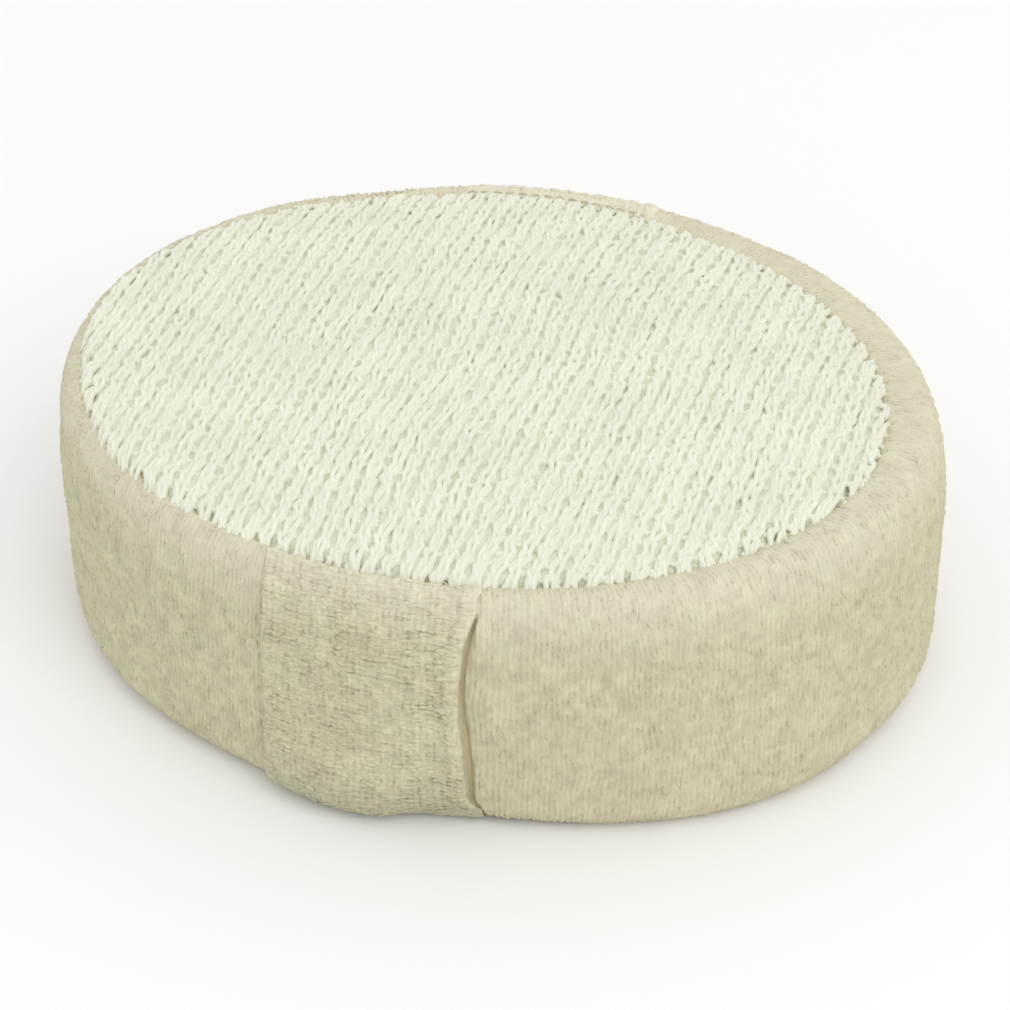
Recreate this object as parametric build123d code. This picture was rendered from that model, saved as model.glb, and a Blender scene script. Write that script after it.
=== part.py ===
from build123d import *
import os

# Oval bath sponge: a foam block in a knitted cover, with an elastic hand strap over its back.
# Millimetres. +X runs along the long axis, +Z points out of the scrubbing face, and z = 0 is the
# back, which the sponge lies on. The origin is under the middle of the oval.

# Whole sponge
half_length = 70.0
half_width = 56.0
width_ratio = half_width / half_length
rim_height = 44.0        # where the side wall ends and the scrubbing face begins to dome
crown_height = 3.5       # rise of the dome above the rim
lean_in = 4.8            # how far the upper part of the wall leans inward at the ends
lean_height = 18.8       # height over which it leans
foot_radius = 5.7        # rounding between the wall and the back

# Cover
wall_thickness = 1.8     # terry side band
face_thickness = 2.2     # coarse knitted scrubbing face
back_thickness = 1.8
cavity_foot_radius = 4.0

# Scrubbing face: an oval set a little towards one end and towards the front
face_half_length = 64.0
face_half_width = 50.2
face_shift_x = -3.0
face_shift_y = -1.8
seam_width = 0.6         # the overlocked thread between two panels
back_seam_inset = 6.0    # from the end of the sponge to the middle of the back seam
panel_split_z = 20.0     # above it the seam cutters reach the top, below it the bottom

# Hand strap
strap_width = 33.0
strap_thickness = 1.8
strap_centre_x = -4.0
strap_half_span = 46.0   # half the length of the flat stretch across the back
strap_foot_radius = 7.5
channel_clearance = 0.3  # between the strap and the sponge that lifts off it
channel_side_gap = 0.4
tack_width = 0.5         # row of thread that holds each strap end
tack_depth = 0.8
tack_inset = 1.2         # from the face seam to the tack row

reach = 200.0            # longer than anything it cuts
trim = 0.2               # cut off the underside, which leaves it exactly flat


def slab(low, high):
    """Box between two corners."""
    size = [b - a for a, b in zip(low, high)]
    centre = [(a + b) / 2 for a, b in zip(low, high)]
    return Pos(*centre) * Box(*size)


def oval_solid(outer_reach, low_z, foot, rim_z):
    """Domed oval block: a half profile turned about Z, then narrowed along Y."""
    start_z = low_z - trim
    lean_start_z = rim_z - lean_height
    foot_x = outer_reach - foot
    rim_x = outer_reach - lean_in
    bottom = Line((0, 0, start_z), (foot_x, 0, start_z))
    foot_arc = Plane.XZ * CenterArc((foot_x, start_z + foot), foot, -90, 90)
    wall = Line((outer_reach, 0, start_z + foot), (outer_reach, 0, lean_start_z))
    lean = Plane.XZ * EllipticalCenterArc((rim_x, lean_start_z), lean_in, lean_height, arc_size=90)
    dome_x = rim_x / 2
    dome_z = rim_z + crown_height * 0.75  # height of a parabola half way to its edge
    dome = ThreePointArc((rim_x, 0, rim_z), (dome_x, 0, dome_z), (0, 0, rim_z + crown_height))
    axis = Line((0, 0, rim_z + crown_height), (0, 0, start_z))
    profile = make_face(Wire([bottom, foot_arc, wall, lean, dome, axis]))
    block = scale(revolve(profile, Axis.Z, 360), by=(1, width_ratio, 1))
    return block & slab((-reach, -reach, low_z), (reach, reach, reach))


def oval_prism(semi_x, semi_y, centre_x, centre_y, low_z, high_z):
    """Upright oval prism that cuts a panel out of the cover."""
    base = Plane((centre_x, centre_y, low_z)) * Ellipse(semi_x, semi_y)
    return extrude(base, high_z - low_z)


def strap_channel(depth, grow):
    """Groove across the back that the strap lies in."""
    half = strap_width / 2 + channel_side_gap + grow
    return slab(
        (strap_centre_x - half, -reach, -reach), (strap_centre_x + half, reach, depth)
    )


channel_depth = strap_thickness + channel_clearance
envelope = oval_solid(half_length, 0, foot_radius, rim_height) - strap_channel(channel_depth, 0)
foam_core = oval_solid(
    half_length - wall_thickness, back_thickness, cavity_foot_radius, rim_height - face_thickness
) - strap_channel(channel_depth + back_thickness, back_thickness)
cover = envelope - foam_core


def face_cutter(grow):
    return oval_prism(
        face_half_length + grow, face_half_width + grow, face_shift_x, face_shift_y,
        panel_split_z, reach,
    )


def back_cutter(grow):
    semi_x = half_length - back_seam_inset + grow
    semi_y = half_width - back_seam_inset * width_ratio + grow
    return oval_prism(semi_x, semi_y, 0, 0, -reach, panel_split_z)


half_seam = seam_width / 2
face_panel = cover & face_cutter(-half_seam)
face_seam_thread = cover & (face_cutter(half_seam) - face_cutter(-half_seam))
back_panel = cover & back_cutter(-half_seam)
back_seam_thread = cover & (back_cutter(half_seam) - back_cutter(-half_seam))
side_band = cover - face_cutter(half_seam) - back_cutter(half_seam)


def strap_outside(depth):
    """Oval block out to a depth below the strap's outer surface."""
    stand = strap_thickness - depth
    return oval_solid(half_length + stand, 0, strap_foot_radius, rim_height + stand)


def strap_shell():
    """Everything between the sponge and the outside of the strap, across the strap's width."""
    across = slab(
        (strap_centre_x - strap_width / 2, -reach, -reach),
        (strap_centre_x + strap_width / 2, reach, reach),
    )
    return (strap_outside(0) & across) - envelope - face_cutter(half_seam)


def strap_end(side):
    """Leg and tack row on the front (side = -1) or the rear (side = 1)."""
    far_y = side * reach
    split_y = side * (strap_half_span + channel_clearance / 2)
    leg_zone = slab((-reach, min(split_y, far_y), -reach), (reach, max(split_y, far_y), reach))
    leg = strap_shell() & leg_zone
    seam_y = face_shift_y + side * (face_half_width + half_seam)
    tack_y = seam_y + side * tack_inset
    tack_row = slab(
        (-reach, tack_y - tack_width / 2, panel_split_z),
        (reach, tack_y + tack_width / 2, reach),
    ) - strap_outside(tack_depth)
    return leg - tack_row, leg & tack_row


def strap_flat():
    """Flat stretch of the strap across the back."""
    half_y = strap_half_span - channel_clearance / 2
    return slab(
        (strap_centre_x - strap_width / 2, -half_y, 0),
        (strap_centre_x + strap_width / 2, half_y, strap_thickness),
    )


strap_front_leg, strap_front_tack = strap_end(-1)
strap_rear_leg, strap_rear_tack = strap_end(1)

nodes = {
    "foam_core": foam_core,
    "face_panel": face_panel,
    "face_seam_thread": face_seam_thread,
    "side_band": side_band,
    "back_seam_thread": back_seam_thread,
    "back_panel": back_panel,
    "strap_front_leg": strap_front_leg,
    "strap_front_tack": strap_front_tack,
    "strap_span": strap_flat(),
    "strap_rear_leg": strap_rear_leg,
    "strap_rear_tack": strap_rear_tack,
}

os.makedirs("parts", exist_ok=True)
for name, solid in nodes.items():
    export_step(solid, f"parts/{name}.step")
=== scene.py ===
import math

import bpy
import numpy as np
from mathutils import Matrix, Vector


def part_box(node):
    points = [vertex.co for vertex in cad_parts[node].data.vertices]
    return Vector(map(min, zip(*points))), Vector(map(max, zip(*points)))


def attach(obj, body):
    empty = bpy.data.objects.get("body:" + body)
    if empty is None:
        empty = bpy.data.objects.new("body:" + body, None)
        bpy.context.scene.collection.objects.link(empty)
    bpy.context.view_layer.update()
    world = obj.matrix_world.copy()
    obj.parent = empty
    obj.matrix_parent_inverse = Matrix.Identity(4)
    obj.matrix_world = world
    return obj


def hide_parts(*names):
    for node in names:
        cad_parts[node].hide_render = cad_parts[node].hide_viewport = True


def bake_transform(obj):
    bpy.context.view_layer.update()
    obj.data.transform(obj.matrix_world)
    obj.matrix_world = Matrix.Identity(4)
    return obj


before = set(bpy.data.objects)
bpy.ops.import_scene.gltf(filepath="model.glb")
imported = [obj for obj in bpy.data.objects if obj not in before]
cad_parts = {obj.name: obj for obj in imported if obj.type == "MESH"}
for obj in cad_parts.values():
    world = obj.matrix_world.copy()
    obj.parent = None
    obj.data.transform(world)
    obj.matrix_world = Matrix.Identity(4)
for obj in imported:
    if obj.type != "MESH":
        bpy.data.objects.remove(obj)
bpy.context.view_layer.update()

# Everything is in metres. x runs along the oval's long axis, -y is the front, z = 0 is the back.
MM = 0.001

# ------------------------------------------------------------------ sizes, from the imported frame
_, band_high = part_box("side_band")
face_low, face_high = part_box("face_panel")
span_low, span_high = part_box("strap_span")
_, back_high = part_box("back_panel")

HALF_LENGTH = band_high.x
RATIO = band_high.y / band_high.x       # how much narrower the oval is along y
CROWN = 3.5 * MM
RIM = face_high.z - CROWN               # height of the upper edge
LEAN_IN = 4.8 * MM                      # the wall's upper part leans inward by this
LEAN_HEIGHT = 18.8 * MM                 # over this height
FOOT = 5.7 * MM                         # rounding of the lower edge

FACE_X = (face_low.x + face_high.x) / 2
FACE_Y = (face_low.y + face_high.y) / 2
FACE_A = (face_high.x - face_low.x) / 2
FACE_B = (face_high.y - face_low.y) / 2
BACK_A = back_high.x                    # half length of the back panel

STRAP_X = (span_low.x + span_high.x) / 2
STRAP_HALF = (span_high.x - span_low.x) / 2
STRAP_THICK = span_high.z

# ------------------------------------------------------------------ smooth random fields


def lattice(ix, iy, iz, seed):
    """Repeatable random number from -1 to 1 for each whole-number corner."""
    h = ix * 374761393 + iy * 668265263 + iz * 1440662683 + seed * 1274126177
    h = (h ^ (h >> 13)) & 0x7FFFFFFF
    h = (h * 1103515245 + 12345) & 0x7FFFFFFF
    h = (h ^ (h >> 15)) & 0xFFFF
    return h / 32767.5 - 1.0


def noise(p, cell, seed):
    """Smooth noise at points p, one bump about every cell."""
    q = np.asarray(p) / cell + 1000.0
    base = np.floor(q).astype(np.int64)
    f = q - base
    f = f * f * (3 - 2 * f)
    total = 0.0
    for dx in (0, 1):
        for dy in (0, 1):
            for dz in (0, 1):
                corner = lattice(base[..., 0] + dx, base[..., 1] + dy, base[..., 2] + dz, seed)
                weight = (
                    (f[..., 0] if dx else 1 - f[..., 0])
                    * (f[..., 1] if dy else 1 - f[..., 1])
                    * (f[..., 2] if dz else 1 - f[..., 2])
                )
                total = total + corner * weight
    return total


def rib_field(across, p, wide, seed):
    """Height, 0 to 1, of fine knitted ribs that wander a little and are rough with yarn."""
    drift = 0.6 * wide * noise(p, 5 * wide, seed)
    rib = 0.5 + 0.5 * np.cos(2 * math.pi * (across + drift) / wide)
    rough = 0.5 + 0.5 * noise(p, 0.6 * wide, seed + 1)
    clumps = 0.5 + 0.5 * noise(p, 2.4 * wide, seed + 2)
    return np.clip(0.45 * rib + 0.35 * rough + 0.4 * clumps - 0.1, 0, 1)


def step(x, low, high):
    """0 below low, 1 above high, smooth between."""
    t = np.clip((x - low) / (high - low), 0, 1)
    return t * t * (3 - 2 * t)


# ------------------------------------------------------------------ mesh helpers


def mesh_piece(name, points, faces, material, relief_shade=None, gap_shade=None, painted_highlight=None):
    """Smooth mesh from arrays, which keeps three numbers for its material at every point.

    the first number is 0 in a hollow and 1 on a bump, and darkens the hollows as painted shade; the
    second is 1 where painted shade fills the gap beside the strap; the third is 1 where a painted
    highlight pales upper parts.
    """
    mesh = bpy.data.meshes.new(name)
    corners = faces.shape[1]
    mesh.vertices.add(len(points))
    mesh.vertices.foreach_set("co", np.asarray(points, np.float32).ravel())
    mesh.loops.add(faces.size)
    mesh.loops.foreach_set("vertex_index", faces.astype(np.int32).ravel())
    mesh.polygons.add(len(faces))
    mesh.polygons.foreach_set("loop_start", np.arange(0, faces.size, corners, dtype=np.int32))
    mesh.polygons.foreach_set("use_smooth", np.ones(len(faces), bool))
    mesh.update(calc_edges=True)
    for label, values in (("relief_shade", relief_shade), ("gap_shade", gap_shade), ("painted_highlight", painted_highlight)):
        if values is not None:
            layer = mesh.attributes.new(label, "FLOAT", "POINT")
            layer.data.foreach_set("value", np.asarray(values, np.float32).ravel())
    mesh.materials.append(material)
    piece = bpy.data.objects.new(name, mesh)
    bpy.context.scene.collection.objects.link(piece)
    return piece


def grid_faces(rows, columns, closed=False):
    """Quads of a rows x columns grid of points; closed joins the last column to the first."""
    r = np.arange(rows - 1)[:, None]
    c = np.arange(columns if closed else columns - 1)[None, :]
    nxt = (c + 1) % columns
    quads = np.stack(
        [r * columns + c, r * columns + nxt, (r + 1) * columns + nxt, (r + 1) * columns + c], -1
    )
    return quads.reshape(-1, 4)


def grid_normals(p):
    """Outward unit normals of a grid of points, rows going up and columns going anticlockwise."""
    n = np.cross(np.gradient(p, axis=1), np.gradient(p, axis=0))
    return n / np.maximum(np.linalg.norm(n, axis=-1, keepdims=True), 1e-12)


def tubes(paths, radii, sides, up=(0.0, 0.0, 1.0)):
    """Closed tubes along many paths at once. paths is (tubes, points, 3), and sides is even.

    up is one direction, or one for each tube, that its path never runs along.
    """
    count, steps, _ = paths.shape
    tangent = np.gradient(paths, axis=1)
    tangent /= np.maximum(np.linalg.norm(tangent, axis=-1, keepdims=True), 1e-12)
    across = np.cross(tangent, np.asarray(up)[..., None, :])
    across /= np.maximum(np.linalg.norm(across, axis=-1, keepdims=True), 1e-12)
    above = np.cross(across, tangent)
    turn = np.arange(sides) * 2 * math.pi / sides
    radii = np.broadcast_to(radii, (count, steps))[..., None, None]
    ring = (
        across[:, :, None, :] * np.cos(turn)[None, None, :, None]
        + above[:, :, None, :] * np.sin(turn)[None, None, :, None]
    )
    points = paths[:, :, None, :] + ring * radii
    wall = grid_faces(steps, sides, closed=True)[:, ::-1]
    lid = np.array([(0, i, i + 1, i + 2) for i in range(1, sides - 2, 2)])
    one = np.concatenate([wall, lid, lid[:, ::-1] + (steps - 1) * sides])
    faces = one[None] + (np.arange(count) * steps * sides)[:, None, None]
    return points.reshape(-1, 3), faces.reshape(-1, 4)


# ------------------------------------------------------------------ the sponge's surface


FINE = 3000                 # steps along a line before it is divided evenly
LINE_STEPS = 200            # steps in each part of the profile


def outline(reach, low_z, foot, rim, bottom_reach):
    """Half profile (reach along x, height), evenly spaced from the back seam to the dome's top."""
    turn = np.linspace(0, 1, LINE_STEPS) * math.pi / 2
    foot_x = reach - foot
    lean_x = reach - LEAN_IN
    lean_z = rim - LEAN_HEIGHT
    flat = np.stack([np.linspace(bottom_reach, foot_x, LINE_STEPS), np.full(LINE_STEPS, low_z)], 1)
    rounding = np.stack([foot_x + foot * np.sin(turn), low_z + foot - foot * np.cos(turn)], 1)
    lean = np.stack([lean_x + LEAN_IN * np.cos(turn), lean_z + LEAN_HEIGHT * np.sin(turn)], 1)
    dome_x = lean_x * (1 - np.linspace(0, 1, 2 * LINE_STEPS))
    dome = np.stack([dome_x, rim + CROWN * (1 - (dome_x / lean_x) ** 2)], 1)
    line = np.concatenate([flat, rounding, lean, dome])
    gaps = np.linalg.norm(np.diff(line, axis=0), axis=1)
    keep = np.concatenate([[True], gaps > 1e-9])
    line = line[keep]
    length = np.concatenate([[0], np.cumsum(np.linalg.norm(np.diff(line, axis=0), axis=1))])
    even = np.linspace(0, length[-1], FINE)
    return even, np.interp(even, length, line[:, 0]), np.interp(even, length, line[:, 1])


WALL = outline(HALF_LENGTH, 0.0, FOOT, RIM, BACK_A)


def top_height(x, y):
    """Height of the sponge's top surface over a point."""
    reach = np.sqrt(x**2 + (y / RATIO) ** 2)
    lean_x = HALF_LENGTH - LEAN_IN
    inner = RIM + CROWN * (1 - (np.minimum(reach, lean_x) / lean_x) ** 2)
    over = np.clip((reach - lean_x) / LEAN_IN, 0, 1)
    return inner - LEAN_HEIGHT * (1 - np.sqrt(1 - over**2))


def face_distance(x, y):
    """How far inside the scrubbing face's uneven edge a point is (negative outside)."""
    across, deep = (x - FACE_X) / FACE_A, (y - FACE_Y) / FACE_B
    inside = (1 - np.sqrt(across**2 + deep**2)) * (FACE_A + FACE_B) / 2
    angle = np.degrees(np.arctan2(deep, across)) % 360
    inside = inside + 1.7 * MM * np.exp(-(((angle - 103) / 38) ** 2))
    return inside - 1.3 * MM * np.exp(-(((angle - 197) / 15) ** 2))


def seam_reach(angle, shift):
    """Reach, in the x direction's units, at which the wall meets the face's edge moved in."""
    a, b = FACE_A - shift, FACE_B - shift
    c, s = np.cos(angle), RATIO * np.sin(angle)
    qa = (c / a) ** 2 + (s / b) ** 2
    qb = -2 * (c * FACE_X / a**2 + s * FACE_Y / b**2)
    qc = (FACE_X / a) ** 2 + (FACE_Y / b) ** 2 - 1
    return (-qb + np.sqrt(qb**2 - 4 * qa * qc)) / (2 * qa)


def even_angles(count, start, stop):
    """Angles that divide the oval's edge evenly, and the distance along the edge at each."""
    t = np.linspace(start, stop, 4000)
    edge = np.stack([np.cos(t), RATIO * np.sin(t)], 1) * HALF_LENGTH
    length = np.concatenate([[0], np.cumsum(np.linalg.norm(np.diff(edge, axis=0), axis=1))])
    even = np.linspace(0, length[-1], count)
    return np.interp(even, length, t), even


# Lumps and dents: degrees round the oval, height, the spread of both, and how far out each stands.
LUMPS = (
    (-40, 6 * MM, 16, 12 * MM, 1.3 * MM),
    (-76, 3 * MM, 10, 8 * MM, -1.1 * MM),
    (-84, 2.5 * MM, 5, 7 * MM, -1.2 * MM),
    (122, 44 * MM, 15, 9 * MM, -1.2 * MM),
    (225, 5 * MM, 16, 10 * MM, 0.7 * MM),
)


def uneven(p):
    """The hand-made unevenness of the whole sponge, as an outward shift."""
    reach = np.sqrt(p[..., 0] ** 2 + (p[..., 1] / RATIO) ** 2)
    angle = np.degrees(np.arctan2(p[..., 1] / RATIO, p[..., 0]))
    shift = 0.0
    for centre, height, wide, tall, amount in LUMPS:
        beside = (angle - centre + 180) % 360 - 180
        shift = shift + amount * np.exp(-((beside / wide) ** 2) - ((p[..., 2] - height) / tall) ** 2)
    shift = shift * step(reach, 48 * MM, 60 * MM)
    return shift + 0.4 * MM * noise(p, 38 * MM, 3) + 0.2 * MM * noise(p, 14 * MM, 4)


def strap_groove(p):
    """Lifts the underside clear of the strap that passes beneath it."""
    beside = np.abs(p[..., 0] - STRAP_X) - STRAP_HALF
    depth = (STRAP_THICK + 0.35 * MM) * (1 - step(beside, 0.1 * MM, 1.1 * MM))
    lifted = p.copy()
    lifted[..., 2] = np.maximum(p[..., 2], depth + 0.25 * np.minimum(p[..., 2], depth))
    return lifted


# ------------------------------------------------------------------ materials


def srgb(red, green, blue):
    """Colour from 0 to 255 screen values."""
    def linear(v):
        v /= 255
        return v / 12.92 if v <= 0.04045 else ((v + 0.055) / 1.055) ** 2.4
    return (linear(red), linear(green), linear(blue), 1.0)


def noise_texture(material, size, detail, roughness):
    """Noise in the object's own space, with patches of about this size."""
    nodes, wires = material.node_tree.nodes, material.node_tree.links
    place = nodes.new("ShaderNodeTexCoord")
    texture = nodes.new("ShaderNodeTexNoise")
    texture.inputs["Scale"].default_value = 1 / size
    texture.inputs["Detail"].default_value = detail
    texture.inputs["Roughness"].default_value = roughness
    wires.new(place.outputs["Object"], texture.inputs["Vector"])
    return texture.outputs["Fac"]


def drifting_colour(material, patches, grains, dark, light):
    """Colour between dark and light that follows the mean of two noises."""
    nodes, wires = material.node_tree.nodes, material.node_tree.links
    half = nodes.new("ShaderNodeMath")
    half.operation = "MULTIPLY"
    wires.new(grains, half.inputs[0])
    half.inputs[1].default_value = 0.5
    mean = nodes.new("ShaderNodeMath")
    mean.operation = "MULTIPLY_ADD"
    wires.new(patches, mean.inputs[0])
    mean.inputs[1].default_value = 0.5
    wires.new(half.outputs[0], mean.inputs[2])
    ramp = nodes.new("ShaderNodeValToRGB")
    ramp.color_ramp.elements[0].position = 0.36
    ramp.color_ramp.elements[0].color = dark
    ramp.color_ramp.elements[1].position = 0.6
    ramp.color_ramp.elements[1].color = light
    wires.new(mean.outputs[0], ramp.inputs["Fac"])
    return ramp.outputs["Color"]


def point_value(material, label):
    """One of the numbers that mesh_piece keeps at every point."""
    value = material.node_tree.nodes.new("ShaderNodeAttribute")
    value.attribute_name = label
    return value.outputs["Fac"]


def between(material, value, low, high, clamp=True):
    """A value from 0 to 1 turned into one from low to high."""
    remap = material.node_tree.nodes.new("ShaderNodeMapRange")
    remap.clamp = clamp
    remap.inputs["To Min"].default_value = low
    remap.inputs["To Max"].default_value = high
    material.node_tree.links.new(value, remap.inputs["Value"])
    return remap.outputs["Result"]


def darkened(material, colour, amount):
    """A colour multiplied by an amount."""
    nodes, wires = material.node_tree.nodes, material.node_tree.links
    shade = nodes.new("ShaderNodeMix")
    shade.data_type = "RGBA"
    shade.blend_type = "MULTIPLY"
    shade.inputs["Factor"].default_value = 1.0
    wires.new(colour, shade.inputs["A"])
    wires.new(amount, shade.inputs["B"])
    return shade.outputs["Result"]


def tinted(material, colour, amount, tint):
    """A colour that turns into the tint where amount is 1."""
    nodes, wires = material.node_tree.nodes, material.node_tree.links
    mixed = nodes.new("ShaderNodeMix")
    mixed.data_type = "RGBA"
    wires.new(amount, mixed.inputs["Factor"])
    wires.new(colour, mixed.inputs["A"])
    mixed.inputs["B"].default_value = tint
    return mixed.outputs["Result"]


GAP_SHADE_TINT = srgb(228, 217, 184)     # painted shade for the cover in the gap beside the strap
HIGHLIGHT_TINT = srgb(244, 239, 222)      # painted highlight on the cloth's upper parts


def cloth_material(name, light, dark, patch, grain, bump_mm, sheen, hollow_shade=0.6):
    """Fabric: colour drifts in patches and in yarn-sized grain, with painted shade in the hollows and
    in the gap beside the strap, and painted highlight on upper parts.
    """
    material = bpy.data.materials.new(name)
    material.use_nodes = True
    nodes, wires = material.node_tree.nodes, material.node_tree.links
    shader = nodes["Principled BSDF"]
    shader.inputs["Specular IOR Level"].default_value = 0.15
    shader.inputs["Sheen Weight"].default_value = sheen
    shader.inputs["Sheen Roughness"].default_value = 0.6
    shader.inputs["Sheen Tint"].default_value = light

    patches = noise_texture(material, patch, 3, 0.5)
    grains = noise_texture(material, grain, 4, 0.65)
    colour = drifting_colour(material, patches, grains, dark, light)
    # Painted shade: the colour is multiplied down where the relief value is low, in hollows and on the
    # shaded sides of yarn.
    depth = between(material, point_value(material, "relief_shade"), hollow_shade, 1.0, clamp=False)
    colour = darkened(material, colour, depth)
    colour = tinted(material, colour, point_value(material, "gap_shade"), GAP_SHADE_TINT)
    colour = tinted(material, colour, point_value(material, "painted_highlight"), HIGHLIGHT_TINT)
    wires.new(colour, shader.inputs["Base Color"])
    wires.new(between(material, grains, 0.86, 1.0), shader.inputs["Roughness"])

    bump = nodes.new("ShaderNodeBump")
    bump.inputs["Strength"].default_value = 0.8
    bump.inputs["Distance"].default_value = bump_mm * MM
    wires.new(grains, bump.inputs["Height"])
    wires.new(bump.outputs["Normal"], shader.inputs["Normal"])
    return material


WHITE_YARN = cloth_material(
    "white_yarn", srgb(236, 240, 221), srgb(229, 229, 212), 9 * MM, 0.35 * MM, 0.12, 0.25, 0.86
)
WHITE_BACKING = cloth_material(
    "white_backing", srgb(236, 237, 219), srgb(218, 219, 198), 6 * MM, 0.4 * MM, 0.15, 0.1, 0.85
)
TERRY = cloth_material(
    "beige_terry", srgb(210, 206, 175), srgb(204, 195, 167), 5 * MM, 0.3 * MM, 0.1, 0.25, 0.86
)
STRAP_KNIT = cloth_material(
    "strap_knit", srgb(212, 209, 178), srgb(203, 195, 166), 6 * MM, 0.3 * MM, 0.1, 0.2, 0.82
)
THREAD = cloth_material(
    "cream_thread", srgb(226, 220, 194), srgb(208, 200, 172), 4 * MM, 0.2 * MM, 0.05, 0.2
)
FOAM = cloth_material(
    "pale_foam", srgb(236, 224, 176), srgb(214, 199, 150), 7 * MM, 0.8 * MM, 0.3, 0.05
)

# ------------------------------------------------------------------ foam core


def foam_block():
    """The hidden foam: the sponge's shape, a cover's thickness smaller."""
    inset = 2.6 * MM
    _, reach, height = outline(HALF_LENGTH - inset, 4.4 * MM, 4 * MM, RIM - inset, 0.0)
    pick = np.linspace(0, len(reach) - 1, 90).astype(int)
    angles, _ = even_angles(181, 0, 2 * math.pi)
    angles = angles[:-1]
    r, z = reach[pick][:, None], height[pick][:, None]
    p = np.stack([r * np.cos(angles), RATIO * r * np.sin(angles), z + 0 * angles], -1)
    p += grid_normals(p) * (0.25 * MM * noise(p, 1.6 * MM, 21))[..., None]
    relief_shade = 0.5 + 0.5 * noise(p, 1.6 * MM, 21)
    return mesh_piece(
        "foam_block", p.reshape(-1, 3), grid_faces(len(pick), len(angles), True), FOAM, relief_shade
    )


foam = foam_block()
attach(foam, "sponge")
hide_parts("foam_core")

# ------------------------------------------------------------------ the strap's place on the band

PRESSED = -1.2 * MM      # the band is pressed flat from this far inside the strap's edges


def under_strap(p, margin):
    """1 where the strap lies over the cover, fading out in the millimetre beyond the margin."""
    beside = np.abs(p[..., 0] - STRAP_X) - STRAP_HALF
    return 1 - step(beside, margin, margin + 1.0 * MM)


def strap_press(p):
    """How far the strap is drawn in towards its seam at the top, more so at the rear."""
    rear = p[..., 1] > 0
    return np.where(rear, 1.45 * MM, 0.95 * MM) * step(p[..., 2], 30 * MM, 43 * MM)


def at_front(y):
    """1 on the front wall, fading to 0 under the sponge."""
    return step(-y, 25 * MM, 42 * MM)


def strap_edge_shift(z):
    """The right edge isn't straight: drawn in half way up, and flaring out at the foot."""
    inset = -1.2 * MM * (1 - step(z, 36 * MM, 43 * MM))
    waist = -1.2 * MM * np.exp(-(((z - 27 * MM) / (11 * MM)) ** 2))
    return inset + waist + 1.6 * MM * (1 - step(z, 2 * MM, 7 * MM))


def strap_crevice(p):
    """1 in the gap that the strap's lifted right edge leaves on the front of the band; it sinks the
    band there and sets the painted shade in the gap.
    """
    beside = p[..., 0] - (STRAP_X + STRAP_HALF + strap_edge_shift(p[..., 2]))
    front = 1 - step(p[..., 1], -30 * MM, -20 * MM)
    tall = step(p[..., 2], 1 * MM, 4 * MM) * (1 - step(p[..., 2], 38 * MM, 44 * MM))
    wide = 0.3 * MM + 0.25 * MM * np.exp(-(((p[..., 2] - 16 * MM) / (9 * MM)) ** 2))
    return np.exp(-(((beside - 0.2 * MM) / wide) ** 4)) * front * tall


# ------------------------------------------------------------------ side band of short-loop terry

BAND_COLUMNS = 1800
BAND_ROWS = 170
BAND_QUARTERS = ("front_right", "rear_right", "rear_left", "front_left")
BAND_RIB = 0.85 * MM       # from one rib to the next along the edge
BAND_PILE = 0.34 * MM      # height of the ribs
PILE_GRID = (50, 116)      # loops up each quarter of the band, and along it
# A terry loop's length, slant, height, yarn radius and sinking.
TERRY_LOOP = (1.3 * MM, 0.6 * MM, 0.17 * MM, 0.24 * MM, 0.26 * MM)


def band_base():
    """The band without its pile: points, normals, and distances along its edge and to its seam."""
    angles, edge = even_angles(BAND_COLUMNS + 1, -math.pi / 2, 1.5 * math.pi)
    length, reach, height = WALL
    upper = np.flatnonzero(length > 30 * MM)
    end = np.interp(-seam_reach(angles, 1.6 * MM), -reach[upper], length[upper])
    up = np.linspace(0, 1, BAND_ROWS)[:, None] * end[None, :]
    r = np.interp(up, length, reach)
    z = np.interp(up, length, height)
    p = np.stack([r * np.cos(angles), RATIO * r * np.sin(angles), z], -1)
    n = grid_normals(p)
    to_seam = end[None, :] - up
    covered = under_strap(p, PRESSED)
    out = uneven(p) - covered * (0.12 * MM + strap_press(p))
    out += 0.5 * MM * np.exp(-(((to_seam - 6 * MM) / (3.2 * MM)) ** 2)) * (1 - covered)
    out -= 0.8 * MM * (1 - step(to_seam, 0, 3.0 * MM))
    out -= 1.0 * MM * strap_crevice(p)
    out -= 0.5 * MM * (1 - step(up, 0, 1.4 * MM))
    p = p + n * out[..., None]
    p = strap_groove(p)
    p[..., 2] = np.maximum(p[..., 2], 0.05 * MM)
    return p, n, edge[None, :] + 0 * up, to_seam


def band_surface():
    """The band with its pile: points, normals, relief that also sets painted shade, and distance to
    the seam.
    """
    p, n, edge, to_seam = band_base()
    relief_shade = rib_field(edge, p, BAND_RIB, 31)
    pile = BAND_PILE * (relief_shade - 0.5) * (1 - 0.6 * under_strap(p, PRESSED))
    p = p + n * pile[..., None]
    p[..., 2] = np.maximum(p[..., 2], 0.03 * MM)
    return p, n, relief_shade, to_seam


def band_blotch(p):
    """Where the terry is a little lighter or darker."""
    return 0.7 * noise(p, 1.1 * MM, 33) + 0.3 * noise(p, 2.2 * MM, 34) + 0.1 * noise(p, 7 * MM, 35)


def band_top_highlight(p):
    """Painted highlight: the terry is paler where it rolls over the upper edge and faces the light."""
    return 0.32 * step(p[..., 2], 31 * MM, 45 * MM)


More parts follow.
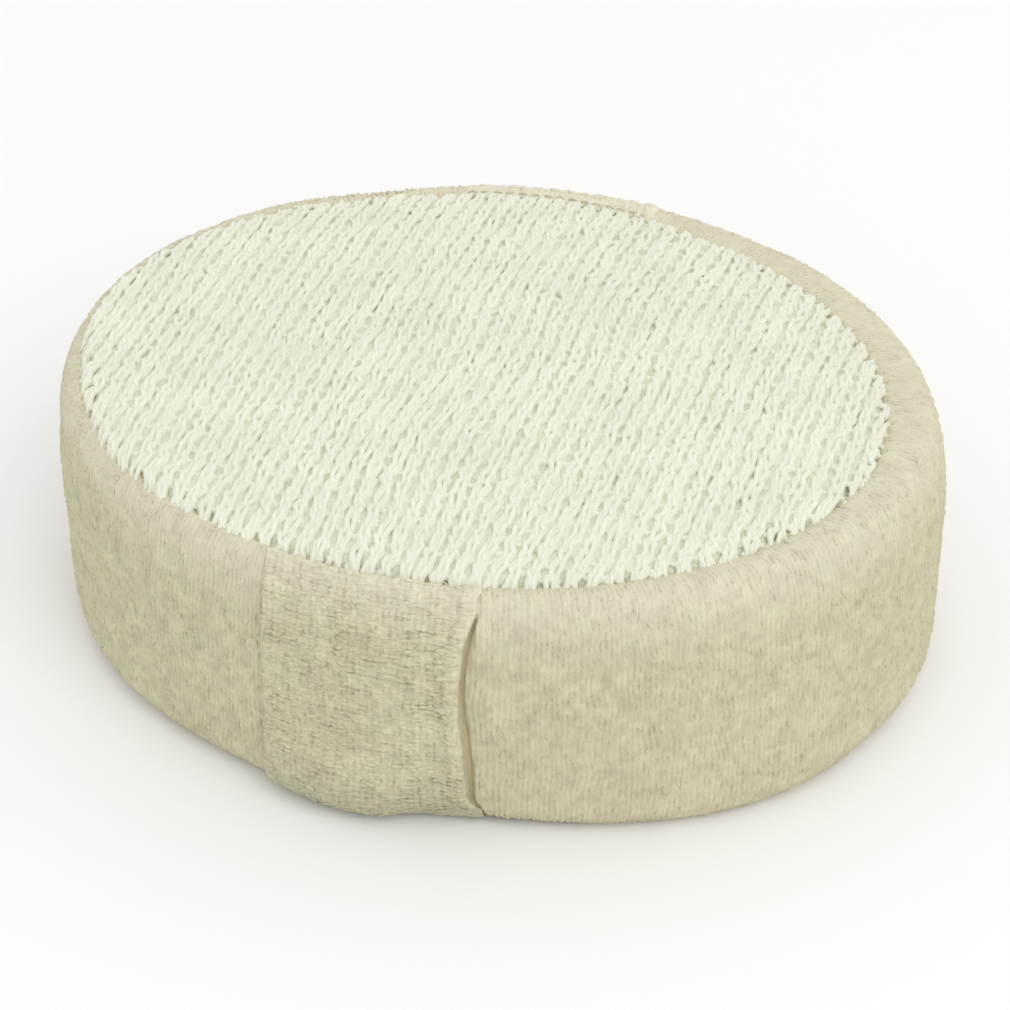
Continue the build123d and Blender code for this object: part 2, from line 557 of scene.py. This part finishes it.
def band_pieces(p, relief_shade):
    """The band in four quarters."""
    # Painted shade in the gap beside the strap's right edge.
    gap_shade = strap_crevice(p)
    relief_shade = relief_shade + band_blotch(p)
    # Painted highlight along the band's upper edge.
    painted_highlight = band_top_highlight(p)
    quarter = BAND_COLUMNS // 4
    for index, where in enumerate(BAND_QUARTERS):
        columns = slice(index * quarter, (index + 1) * quarter + 1)
        piece = mesh_piece(
            "band_" + where,
            p[:, columns].reshape(-1, 3),
            grid_faces(BAND_ROWS, quarter + 1),
            TERRY,
            relief_shade[:, columns],
            gap_shade[:, columns],
            painted_highlight[:, columns],
        )
        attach(piece, "sponge")
        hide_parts("side_band")


def pile_loops(name, places, shape, seed, material, blotch_and_shade, painted_highlight):
    """Short yarn loops that lie on a cover: arches that rise out of it and dip back in.

    places holds each loop's base and the directions along it, to its side and out of the cover.
    shape is a loop's length, how far it may slant, its height, its yarn's radius and its sinking.
    """
    base, along, aside, out = places
    long, lean, high, yarn, sunk = shape
    rng = np.random.default_rng(seed)
    count = len(base)
    bend = np.linspace(0, 1, 5)[None, :, None]
    arch = np.sin(math.pi * bend)
    size = (long * rng.uniform(0.7, 1.3, count))[:, None, None]
    slant = (lean * rng.uniform(-1, 1, count))[:, None, None]
    clump = noise(base, 2.6 * MM, seed)
    tall = (high * (rng.uniform(0.65, 1.35, count) + 0.4 * clump))[:, None, None]
    path = base[:, None] + (bend - 0.5) * (along[:, None] * size + aside[:, None] * slant)
    path = path + out[:, None] * (tall * arch - sunk)
    thick = rng.uniform(0.83, 1.17, count) * yarn
    points, faces = tubes(path, thick[:, None], 4, np.cross(path[:, -1] - path[:, 0], out))
    points[:, 2] = np.maximum(points[:, 2], 0.03 * MM)
    height = np.repeat(np.broadcast_to(arch[..., 0], (count, 5)).ravel(), 4)
    # Painted shade: each loop is darker where it dips into the cover and lighter on its arch.
    relief_shade = 0.55 + 0.25 * height + blotch_and_shade(points)
    return mesh_piece(name, points, faces, material, relief_shade, None, painted_highlight(points))


def band_loops(p, n, to_seam):
    """The terry's loops, which stand along the ribs all over the band."""
    along = np.gradient(p, axis=0)
    along /= np.maximum(np.linalg.norm(along, axis=-1, keepdims=True), 1e-12)
    across = np.cross(n, along)
    quarter = BAND_COLUMNS // 4
    for index, where in enumerate(BAND_QUARTERS):
        rng = np.random.default_rng(50 + index)
        rows, columns = np.meshgrid(np.arange(PILE_GRID[0]), np.arange(PILE_GRID[1]))
        row = (rows + rng.uniform(0, 1, rows.shape)) * (BAND_ROWS - 8) / PILE_GRID[0] + 3
        col = (columns + rng.uniform(0, 1, rows.shape)) * quarter / PILE_GRID[1] + index * quarter
        row, col = row.astype(int).ravel(), col.astype(int).ravel()
        base = p[row, col]
        keep = (under_strap(base, -0.7 * MM) < 0.05) & (to_seam[row, col] > 0.8 * MM)
        keep &= (base[:, 2] > 1.0 * MM) & (strap_crevice(base) < 0.1)
        row, col, base = row[keep], col[keep], base[keep]
        piece = pile_loops(
            "loops_" + where,
            (base, along[row, col], across[row, col], n[row, col]),
            TERRY_LOOP,
            60 + index,
            TERRY,
            band_blotch,
            band_top_highlight,
        )
        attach(piece, "sponge")
        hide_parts("side_band")


band_points, band_normals, band_relief_shade, seam_distance = band_surface()
band_pieces(band_points, band_relief_shade)
band_loops(band_points, band_normals, seam_distance)

# ------------------------------------------------------------------ back panel


def back_cover():
    """Underside: the same terry, with a soft groove where the strap crosses."""
    rings, spokes = 150, 420
    angles, _ = even_angles(spokes + 1, 0, 2 * math.pi)
    angles = angles[:-1]
    r = np.linspace(0.002, 1, rings)[::-1][:, None] * (BACK_A + 0.6 * MM)
    p = np.stack([r * np.cos(angles), RATIO * r * np.sin(angles), 0 * r + 0 * angles], -1)
    relief_shade = 0.5 + 0.5 * noise(p, 0.7 * MM, 41)
    seam = 0.5 * MM * step(r, BACK_A - 1.6 * MM, BACK_A)
    p[..., 2] = 0.08 * MM + 0.35 * MM * (1 - relief_shade) + seam
    p[..., 2] += 0.3 * MM * (0.5 + 0.5 * noise(p, 11 * MM, 42)) - np.minimum(uneven(p), 0)
    p = strap_groove(p)
    faces = grid_faces(rings, spokes, True)[:, ::-1]
    return mesh_piece("back_cover", p.reshape(-1, 3), faces, TERRY, relief_shade)


back = back_cover()
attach(back, "sponge")
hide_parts("back_panel")

# ------------------------------------------------------------------ scrubbing face

WALE = 2.7 * MM          # from one knitted rib to the next
COURSE = 3.0 * MM        # from one row of stitches to the next
YARN = 0.28 * MM         # from the yarn's middle to each of its two strands
STRAND = 0.51 * MM       # radius of a strand
LOOP_DEPTH = 0.26 * MM   # how far a loop's head dives under its legs
LOOP_BULGE = 0.42 * MM   # how far a loop's head and foot bulge out past its legs
LOOP_PINCH = 0.23 * MM   # how far the legs under a head are drawn together
LOOP_REACH = 0.72        # how far a loop reaches to each side of its course, in courses
STRAND_SIDES = 6
KNIT_PIECES = 8
KNIT_TILT = math.radians(3.0)


def face_pad():
    """The face's base: a thin domed pad under the knit."""
    rings, spokes = 60, 300
    angles = np.linspace(0, 2 * math.pi, spokes + 1)[:-1]
    size = np.linspace(1, 0.004, rings)[:, None]
    x = FACE_X + (FACE_A - 0.3 * MM) * size * np.cos(angles)
    y = FACE_Y + (FACE_B - 0.3 * MM) * size * np.sin(angles)
    top = np.stack([x, y, top_height(x, y)], -1)
    edge = face_distance(x, y)
    top[..., 2] += uneven(top) + 0.1 * MM * noise(top, 1.3 * MM, 51)
    top[..., 2] += 0.2 * MM - 1.3 * MM * (1 - step(edge, 0, 2.5 * MM))
    bottom = top[::-1].copy()
    bottom[..., 2] -= 1.3 * MM
    p = np.concatenate([bottom, top])
    # Painted shade: the pad's underside is darker than its top.
    relief_shade = np.concatenate([np.full(bottom.shape[:2], 0.4), 0.5 + 0.5 * noise(top, 1.3 * MM, 51)])
    faces = grid_faces(2 * rings, spokes, True)
    return mesh_piece("face_pad", p.reshape(-1, 3), faces, WHITE_BACKING, relief_shade)


pad = face_pad()
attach(pad, "sponge")
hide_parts("face_panel")


def knit_rows():
    """One yarn path for each course: loops whose legs lie on top as ribs along y."""
    steps = 16
    wide = int(2 * FACE_A / WALE) + 4
    deep = int(2 * FACE_B / COURSE) + 3
    theta = np.arange(wide * steps + 1) / steps * 2 * math.pi - wide * math.pi
    rows = []
    for course in range(-(deep // 2), deep // 2 + 1):
        x = WALE * theta / (2 * math.pi) + LOOP_BULGE * np.sin(2 * theta) - LOOP_PINCH * np.sin(theta)
        y = COURSE * course + LOOP_REACH * COURSE * np.cos(theta)
        z = -LOOP_DEPTH * np.cos(2 * theta)
        rows.append(np.stack([x, y, z], -1))
    p = np.array(rows)
    drift = np.concatenate([p[..., :2], np.zeros_like(p[..., :1])], -1)
    p[..., 0] += 0.8 * MM * noise(drift, 24 * MM, 61) + 0.42 * MM * noise(drift, 2.4 * MM, 62)
    p[..., 1] += 0.9 * MM * noise(drift, 22 * MM, 63) + 0.65 * MM * noise(drift, 2.6 * MM, 64)
    p[..., 2] += 0.26 * MM * noise(drift, 2.1 * MM, 65)
    c, s = math.cos(KNIT_TILT), math.sin(KNIT_TILT)
    x = FACE_X + c * p[..., 0] + s * p[..., 1]
    y = FACE_Y - s * p[..., 0] + c * p[..., 1]
    return np.stack([x, y, p[..., 2]], -1)


def knit_runs(rows):
    """Cuts each course where it leaves the face, with the ends tucked into the seam."""
    runs = []
    for row in rows:
        inside = face_distance(row[:, 0], row[:, 1]) > -0.8 * MM
        where = np.flatnonzero(np.diff(np.concatenate([[0], inside.astype(int), [0]])))
        for first, last in zip(where[::2], where[1::2]):
            if last - first > 5:
                runs.append(row[first:last])
    return runs


def lay_on_face(run):
    """Puts a run of yarn on the domed face and tucks it in at the edge."""
    x, y = run[:, 0], run[:, 1]
    edge = face_distance(x, y)
    base = top_height(x, y) + uneven(np.stack([x, y, top_height(x, y)], -1))
    tuck = step(edge, -0.7 * MM, 1.2 * MM)
    return np.stack([x, y, base + run[:, 2] - 1.4 * MM * (1 - tuck)], -1), 0.7 + 0.3 * tuck


def strands(path, fullness, run):
    """The yarn's two strands, which twist slowly and unevenly round each other."""
    tangent = np.gradient(path, axis=0)
    tangent /= np.linalg.norm(tangent, axis=-1, keepdims=True)
    across = np.cross(tangent, (0.0, 0.0, 1.0))
    across /= np.maximum(np.linalg.norm(across, axis=-1, keepdims=True), 1e-9)
    above = np.cross(across, tangent)
    gone = np.cumsum(np.linalg.norm(np.diff(path, axis=0, prepend=path[:1]), axis=1))
    flat = run * (1, 1, 0)
    turn = (2 * math.pi * gone / (9 * MM) + 2.2 * noise(flat, 5 * MM, 66))[:, None]
    pair = []
    for seed, half in ((67, 0.0), (68, math.pi)):
        aside = across * np.cos(turn + half) + 0.75 * above * np.sin(turn + half)
        thick = STRAND * fullness * (1 + 0.16 * noise(flat, 1.6 * MM, seed))
        pair.append((path + YARN * fullness[:, None] * aside, thick))
    return pair


def yarn_mesh(name, runs):
    """One piece of the knit: both strands of every run of yarn in it."""
    points, faces, relief_shade = [], [], []
    start = 0
    for run in runs:
        path, fullness = lay_on_face(run)
        for middle, thick in strands(path, fullness, run):
            p, f = tubes(middle[None], thick[None], STRAND_SIDES)
            turn = np.tile(np.arange(STRAND_SIDES), len(path)) * 2 * math.pi / STRAND_SIDES
            height = np.repeat(middle[:, 2] - path[:, 2], STRAND_SIDES) / YARN
            fuzz = 0.16 * noise(p, 0.5 * MM, 69)
            p = p + (p - np.repeat(middle, STRAND_SIDES, axis=0)) * fuzz[:, None]
            # Painted shade: each strand is darker on its underside and where it lies below the other
            # strand.
            relief_shade.append(np.clip(0.6 + 0.2 * height + 0.3 * np.sin(turn), 0, 1.1))
            points.append(p)
            faces.append(f + start)
            start += len(p)
    return mesh_piece(
        name, np.concatenate(points), np.concatenate(faces), WHITE_YARN, np.concatenate(relief_shade)
    )


runs = knit_runs(knit_rows())
share = -(-len(runs) // KNIT_PIECES)
for index in range(KNIT_PIECES):
    piece = yarn_mesh(f"knit_{index + 1}", runs[index * share:(index + 1) * share])
    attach(piece, "sponge")
    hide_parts("face_panel")

# ------------------------------------------------------------------ hand strap

STRAP_ROWS = 500
STRAP_COLUMNS = 162
INNER_SHARE = 6             # the inner side has one column for this many on the outer side
STRAP_RIB = 0.92 * MM       # from one rib to the next
STRAP_LOOP = 1.0 * MM       # from one loop to the next along a rib
STRAP_STAND = 0.95 * MM     # from the wall to the middle of the strap, in the x direction's units
STRAP_SKIN = 0.6 * MM       # half of the knit's thickness between its hems
STRAP_FOOT = 6.6 * MM       # rounding from the wall to the underside
PAST_WIDEST = 90 * MM       # this far along its line the strap is above the oval's widest place
GAPE = 0.9 * MM             # the most that the front's right edge is lifted off the band
BULGE = 1.55 * MM           # the most that the front stands out above its foot
# A strap loop's length, slant, height, yarn radius and sinking.
STRAP_STITCH = (1.5 * STRAP_LOOP, 0.4 * MM, 0.15 * MM, 0.31 * MM, 0.24 * MM)


def strap_section():
    """Cross-section: place across the strap, height off its middle, and 1 outside or -1 inside."""
    outer = np.linspace(-1, 1, STRAP_COLUMNS)
    inner = outer[::-1][::INNER_SHARE]
    place = np.concatenate([outer, inner]) * STRAP_HALF
    face = np.concatenate([np.ones(len(outer)), -np.ones(len(inner))])
    from_edge = np.clip((STRAP_HALF - np.abs(place)) / (0.75 * MM), 0, 1)
    rounded = np.sqrt(1 - (1 - from_edge) ** 2)
    hem_right = 0.55 * (1 - step(STRAP_HALF - place, 1.8 * MM, 2.8 * MM))
    hem_left = 0.25 * (1 - step(STRAP_HALF + place, 1.2 * MM, 2.0 * MM))
    thick = STRAP_SKIN * (1 + hem_right + hem_left) * rounded
    return place, face * thick, face


def strap_middle(side, place):
    """The strap's middle surface: points, distance down from its tip, and 1 up the wall."""
    length, reach, height = outline(
        HALF_LENGTH + STRAP_STAND, 0.5 * STRAP_THICK, STRAP_FOOT, RIM + STRAP_STAND, 0.0
    )
    x = STRAP_X + place
    seam_y = np.sqrt(1 - ((x - FACE_X) / (FACE_A - 0.2 * MM)) ** 2) * (FACE_B - 0.2 * MM)
    top_reach = np.sqrt(x**2 + ((seam_y + side * FACE_Y) / RATIO) ** 2)
    upper = np.flatnonzero(length > PAST_WIDEST)
    tip = np.interp(-top_reach, -reach[upper], length[upper])
    widest = np.argmax(reach)
    middle = np.interp(np.abs(x), reach[:widest], length[:widest])
    at = tip + (middle - tip) * np.linspace(0, 1, FINE)[:, None]
    y = RATIO * np.sqrt(np.maximum(np.interp(at, length, reach) ** 2 - x**2, 0))
    z = np.interp(at, length, height)
    fall, rise = np.diff(y, axis=0, prepend=y[:1]), np.diff(z, axis=0, prepend=z[:1])
    gone = np.cumsum(np.hypot(fall, rise), axis=0)
    down = np.linspace(0, 1, STRAP_ROWS)[:, None] * gone[-1]
    columns = range(len(x))
    y = np.stack([np.interp(down[:, c], gone[:, c], y[:, c]) for c in columns], 1) * side
    z = np.stack([np.interp(down[:, c], gone[:, c], z[:, c]) for c in columns], 1)
    shift = strap_edge_shift(z) * at_front(y)
    x = x + shift * step(place, STRAP_HALF - 12 * MM, STRAP_HALF)
    return np.stack([x, y, z], -1), down, step(z, 4 * MM, 12 * MM)


def strap_normals(p, side):
    """Outward unit normals of the strap's middle surface, for its outer and then its inner columns."""
    middle = p[:, :STRAP_COLUMNS]
    normal = np.cross(np.gradient(middle, axis=1), np.gradient(middle, axis=0)) * side
    normal /= np.maximum(np.linalg.norm(normal, axis=-1, keepdims=True), 1e-12)
    return np.concatenate([normal, normal[:, ::-1][:, ::INNER_SHARE]], 1)


def strap_crease(place, z, face, wall):
    """1 in the shallow crease near the left edge of the strap's outside, low on the wall."""
    crease = np.exp(-(((place + STRAP_HALF - 9.5 * MM) / (0.9 * MM)) ** 2)) * (face > 0)
    return crease * wall * (1 - step(z, 18 * MM, 28 * MM))


def front_bulge(place, z):
    """How far the strap's front half stands out just above its foot."""
    fall = np.where(place < -4 * MM, 15 * MM, 8 * MM)
    bulge = BULGE * np.exp(-(((place + 4 * MM) / fall) ** 2))
    return bulge * np.exp(-(((z - 5 * MM) / (7 * MM)) ** 2)) * step(z, 1.0 * MM, 3 * MM)


def front_gape(place, z, wall):
    """How far the right edge of the strap's front half is lifted off the band."""
    low = 1 - step(z, 28 * MM, 42 * MM)
    return GAPE * step(place, STRAP_HALF - 6 * MM, STRAP_HALF) * wall * low


def strap_surface(side):
    """The strap's whole skin: points, normals, relief with painted shade and highlight, place across
    it, face and distance down.
    """
    place, off, face = strap_section()
    p, down, wall = strap_middle(side, place)
    normal = strap_normals(p, side)
    relief_shade = 0.5 * rib_field(down, p, STRAP_RIB, 71) + 0.5 * rib_field(p[..., 0], p, STRAP_LOOP, 76)
    z = p[..., 2]
    front = side < 0
    crease = strap_crease(place, z, face, wall)
    blotch_and_shade = strap_blotch_and_foot_shade(p)
    tip = step(down, 0, 1.3 * MM)
    corner = step(place, STRAP_HALF - 7 * MM, STRAP_HALF) * (1 - step(z, 3 * MM, 9 * MM))
    corner = corner * at_front(p[..., 1])
    off = np.where(off > 0, off * (1 - 0.75 * corner), off)
    out = off * (0.25 + 0.75 * tip) + front_gape(place, z, wall) * front
    out += uneven(p) * step(z, 0.7 * MM, 3 * MM) - strap_press(p) + front_bulge(place, z) * front
    rough = 0.45 * (relief_shade - 0.5) + 0.2 * noise(p, 0.95 * MM, 73)
    out += np.where(face > 0, rough * MM * step(z, 1.2 * MM, 4 * MM), 0.0)
    out -= 0.25 * MM * crease + 0.9 * MM * (1 - tip)
    p = p + normal * out[..., None]
    p[..., 2] = np.maximum(p[..., 2], 0.02 * MM)
    # Painted highlight along the hem of the front's right edge.
    hem_highlight = 0.35 * (1 - step(STRAP_HALF - place, 1.6 * MM, 2.6 * MM)) * (face > 0) * front
    # Painted shade darkens the crease.
    return p, normal, relief_shade + hem_highlight + blotch_and_shade - 0.25 * crease, place, face, down


def strap_blotch_and_foot_shade(p):
    """Where the worn knit is a little lighter or darker, and darker towards the foot as painted shade.
    """
    blotch_and_shade = 0.7 * noise(p, 0.7 * MM, 74) + 0.45 * noise(p, 1.5 * MM, 75)
    return blotch_and_shade - 1.1 * (1 - step(p[..., 2], 1 * MM, 14 * MM))


def strap_top_highlight(p):
    """Painted highlight: the knit is paler near the seams that hold its ends at the top, more so at
    the rear.
    """
    return np.where(p[..., 1] > 0, 0.65, 0.38) * step(p[..., 2], 34 * MM, 46 * MM)


def strap_loops(name, side, p, normal, down):
    """Loops that lie along the strap's ribs on its outside."""
    rng = np.random.default_rng(80)
    spacing = down[1, 0]
    ribs = int(down[-1, 0] / STRAP_RIB)
    per_rib = int(2 * STRAP_HALF / STRAP_LOOP)
    rib, stitch = np.meshgrid(np.arange(ribs), np.arange(per_rib))
    row = (rib + 0.5 + rng.uniform(-0.22, 0.22, rib.shape)) * STRAP_RIB / spacing
    brick = 0.25 + 0.5 * (rib % 2)
    col = (stitch + brick + rng.uniform(-0.25, 0.25, rib.shape)) * STRAP_COLUMNS / per_rib
    row = np.clip(row.astype(int).ravel(), 0, STRAP_ROWS - 1)
    col = col.astype(int).ravel()
    base = p[row, col]
    edge = np.minimum(col, STRAP_COLUMNS - 1 - col) * 2 * STRAP_HALF / STRAP_COLUMNS
    keep = (base[:, 2] > 1.6 * MM) & (edge > 0.8 * MM) & (down[row, col] > 1.2 * MM)
    row, col, base = row[keep], col[keep], base[keep]
    along = np.gradient(p, axis=1)[row, col]
    along /= np.linalg.norm(along, axis=-1, keepdims=True)
    out = normal[row, col]
    places = (base, along, np.cross(out, along), out)
    return pile_loops(name, places, STRAP_STITCH, 82 + side, STRAP_KNIT, strap_blotch_and_foot_shade, strap_top_highlight)


def strap_half(name, side, leg):
    """One half of the strap, from the middle of the back to its sewn end, with its loops."""
    p, normal, relief_shade, place, face, down = strap_surface(side)
    # Painted shade on the inside of the strap near its right edge, seen under the lifted edge.
    gap_shade = 0.6 * step(place, STRAP_HALF - 4 * MM, STRAP_HALF - 1 * MM) * (face < 0)
    gap_shade = gap_shade * np.ones_like(down)
    faces = grid_faces(STRAP_ROWS, p.shape[1], True)
    if side > 0:
        faces = faces[:, ::-1]
    skin = mesh_piece(name, p.reshape(-1, 3), faces, STRAP_KNIT, relief_shade, gap_shade, strap_top_highlight(p))
    for piece in (skin, strap_loops(name + "_loops", side, p, normal, down)):
        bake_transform(piece)
        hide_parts(leg, "strap_span")


strap_half("strap_front", -1, "strap_front_leg")
strap_half("strap_rear", 1, "strap_rear_leg")

# ------------------------------------------------------------------ seams

FACE_STITCHES = 190
BACK_STITCHES = 180
TACK_STITCHES = 15       # across each end of the strap
TACK_SPACING = 2.1 * MM


def stitch_row(name, start, stop, radius, node):
    """Short stitches, each from a start point to a stop point, sunk at both ends."""
    bend = np.linspace(0, 1, 7)[None, :, None]
    path = start[:, None] * (1 - bend) + stop[:, None] * bend
    path[..., 2] += (0.25 * MM * (np.sin(math.pi * bend) - 0.5))[..., 0]
    points, faces = tubes(path, radius, 6)
    relief_shade = 0.6 + 0.4 * noise(points, 0.5 * MM, 81)
    piece = mesh_piece(name, points, faces, THREAD, relief_shade)
    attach(piece, "sponge")
    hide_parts(node)


def on_face_edge(angle, shift):
    """Points beside the face's edge, moved outward by shift."""
    x = FACE_X + (FACE_A + shift) * np.cos(angle)
    y = FACE_Y + (FACE_B + shift) * np.sin(angle)
    z = top_height(x, y)
    p = np.stack([x, y, z], -1)
    p[..., 2] += uneven(p)
    return p


def face_seam():
    """Stitches over the face's edge, leaning a little round the oval."""
    around = np.linspace(0, 2 * math.pi, FACE_STITCHES + 1)[:-1]
    inner, outer = on_face_edge(around, -0.9 * MM), on_face_edge(around + 0.016, 0.5 * MM)
    inner[:, 2] -= 0.35 * MM
    outer[:, 2] -= 0.55 * MM
    stitch_row("face_stitches", inner, outer, 0.24 * MM, "face_seam_thread")


def back_seam():
    """Stitches over the back panel's edge, except where the strap crosses it."""
    around, _ = even_angles(BACK_STITCHES + 1, 0, 2 * math.pi)
    around = around[:-1]
    clear = np.abs(BACK_A * np.cos(around) - STRAP_X) > STRAP_HALF + 1 * MM
    around = around[clear]
    ends = []
    for shift, turn in ((-1.2 * MM, 0.0), (1.0 * MM, 0.012)):
        x = (BACK_A + shift) * np.cos(around + turn)
        y = RATIO * (BACK_A + shift) * np.sin(around + turn)
        p = np.stack([x, y, np.full_like(x, 0.5 * MM)], -1)
        p[:, 2] -= np.minimum(uneven(p), 0)
        ends.append(p)
    stitch_row("back_stitches", ends[0], ends[1], 0.2 * MM, "back_seam_thread")


def tack_row(name, side, node):
    """Stitches that hold one end of the strap at the face's edge."""
    x = STRAP_X + (np.arange(TACK_STITCHES) - TACK_STITCHES // 2) * TACK_SPACING
    ends = []
    for shift in (-0.65 * MM, 0.65 * MM):
        at = (x + shift - FACE_X) / (FACE_A + 1.2 * MM)
        y = FACE_Y + side * (FACE_B + 1.2 * MM) * np.sqrt(1 - at**2)
        p = np.stack([x + shift, y, top_height(x, y)], -1)
        p[:, 2] += uneven(p) + 0.62 * MM
        ends.append(p)
    stitch_row(name, ends[0], ends[1], 0.16 * MM, node)


face_seam()
back_seam()
tack_row("front_tack", -1, "strap_front_tack")
tack_row("rear_tack", 1, "strap_rear_tack")

# ------------------------------------------------------------------ floor, light and camera


def floor_material():
    material = bpy.data.materials.new("pale_floor")
    material.use_nodes = True
    shader = material.node_tree.nodes["Principled BSDF"]
    shader.inputs["Base Color"].default_value = (0.93, 0.93, 0.93, 1)
    shader.inputs["Roughness"].default_value = 0.9
    return material


def floor():
    half = 6.0
    corners = np.array([(-half, -half, 0), (half, -half, 0), (half, half, 0), (-half, half, 0)])
    piece = mesh_piece("floor", corners, np.array([[0, 1, 2, 3]]), floor_material())


def area_light(name, place, target, size, watts):
    data = bpy.data.lights.new(name, "AREA")
    data.size = size
    data.energy = watts
    lamp = bpy.data.objects.new(name, data)
    lamp.location = place
    lamp.rotation_mode = "QUATERNION"
    lamp.rotation_quaternion = (Vector(target) - Vector(place)).to_track_quat("-Z", "Y")
    bpy.context.scene.collection.objects.link(lamp)


def lights():
    """Even white light from all round, and one soft lamp at the front right."""
    world = bpy.data.worlds.new("studio")
    bpy.context.scene.world = world
    world.use_nodes = True
    back = world.node_tree.nodes["Background"]
    back.inputs["Color"].default_value = (1, 1, 1, 1)
    back.inputs["Strength"].default_value = 0.94
    area_light("key", (0.5, -0.45, 0.8), (0, 0, 0.02), 0.6, 2.2)


AZIMUTH = math.radians(16.2)      # round from the front, towards the right
ELEVATION = math.radians(38.0)
DISTANCE = 0.56
LENS_MM = 126.3
SENSOR_MM = 36


def camera():
    """A camera at the photograph's viewing angle."""
    data = bpy.data.cameras.new("camera")
    data.sensor_width = SENSOR_MM
    data.lens = LENS_MM
    data.clip_start = 0.01
    data.clip_end = 20
    cam = bpy.data.objects.new("camera", data)
    towards = Vector(
        (
            math.sin(AZIMUTH) * math.cos(ELEVATION),
            -math.cos(AZIMUTH) * math.cos(ELEVATION),
            math.sin(ELEVATION),
        )
    )
    right = Vector((math.cos(AZIMUTH), math.sin(AZIMUTH), 0))
    up = towards.cross(right)
    target = Vector((0, 0, RIM / 2)) + right * 0.8 * MM - up * 2.7 * MM
    cam.location = target + towards * DISTANCE
    cam.rotation_mode = "QUATERNION"
    cam.rotation_quaternion = (-towards).to_track_quat("-Z", "Y")
    bpy.context.scene.collection.objects.link(cam)
    bpy.context.scene.camera = cam


floor()
lights()
camera()
bpy.context.scene.view_settings.view_transform = "Standard"
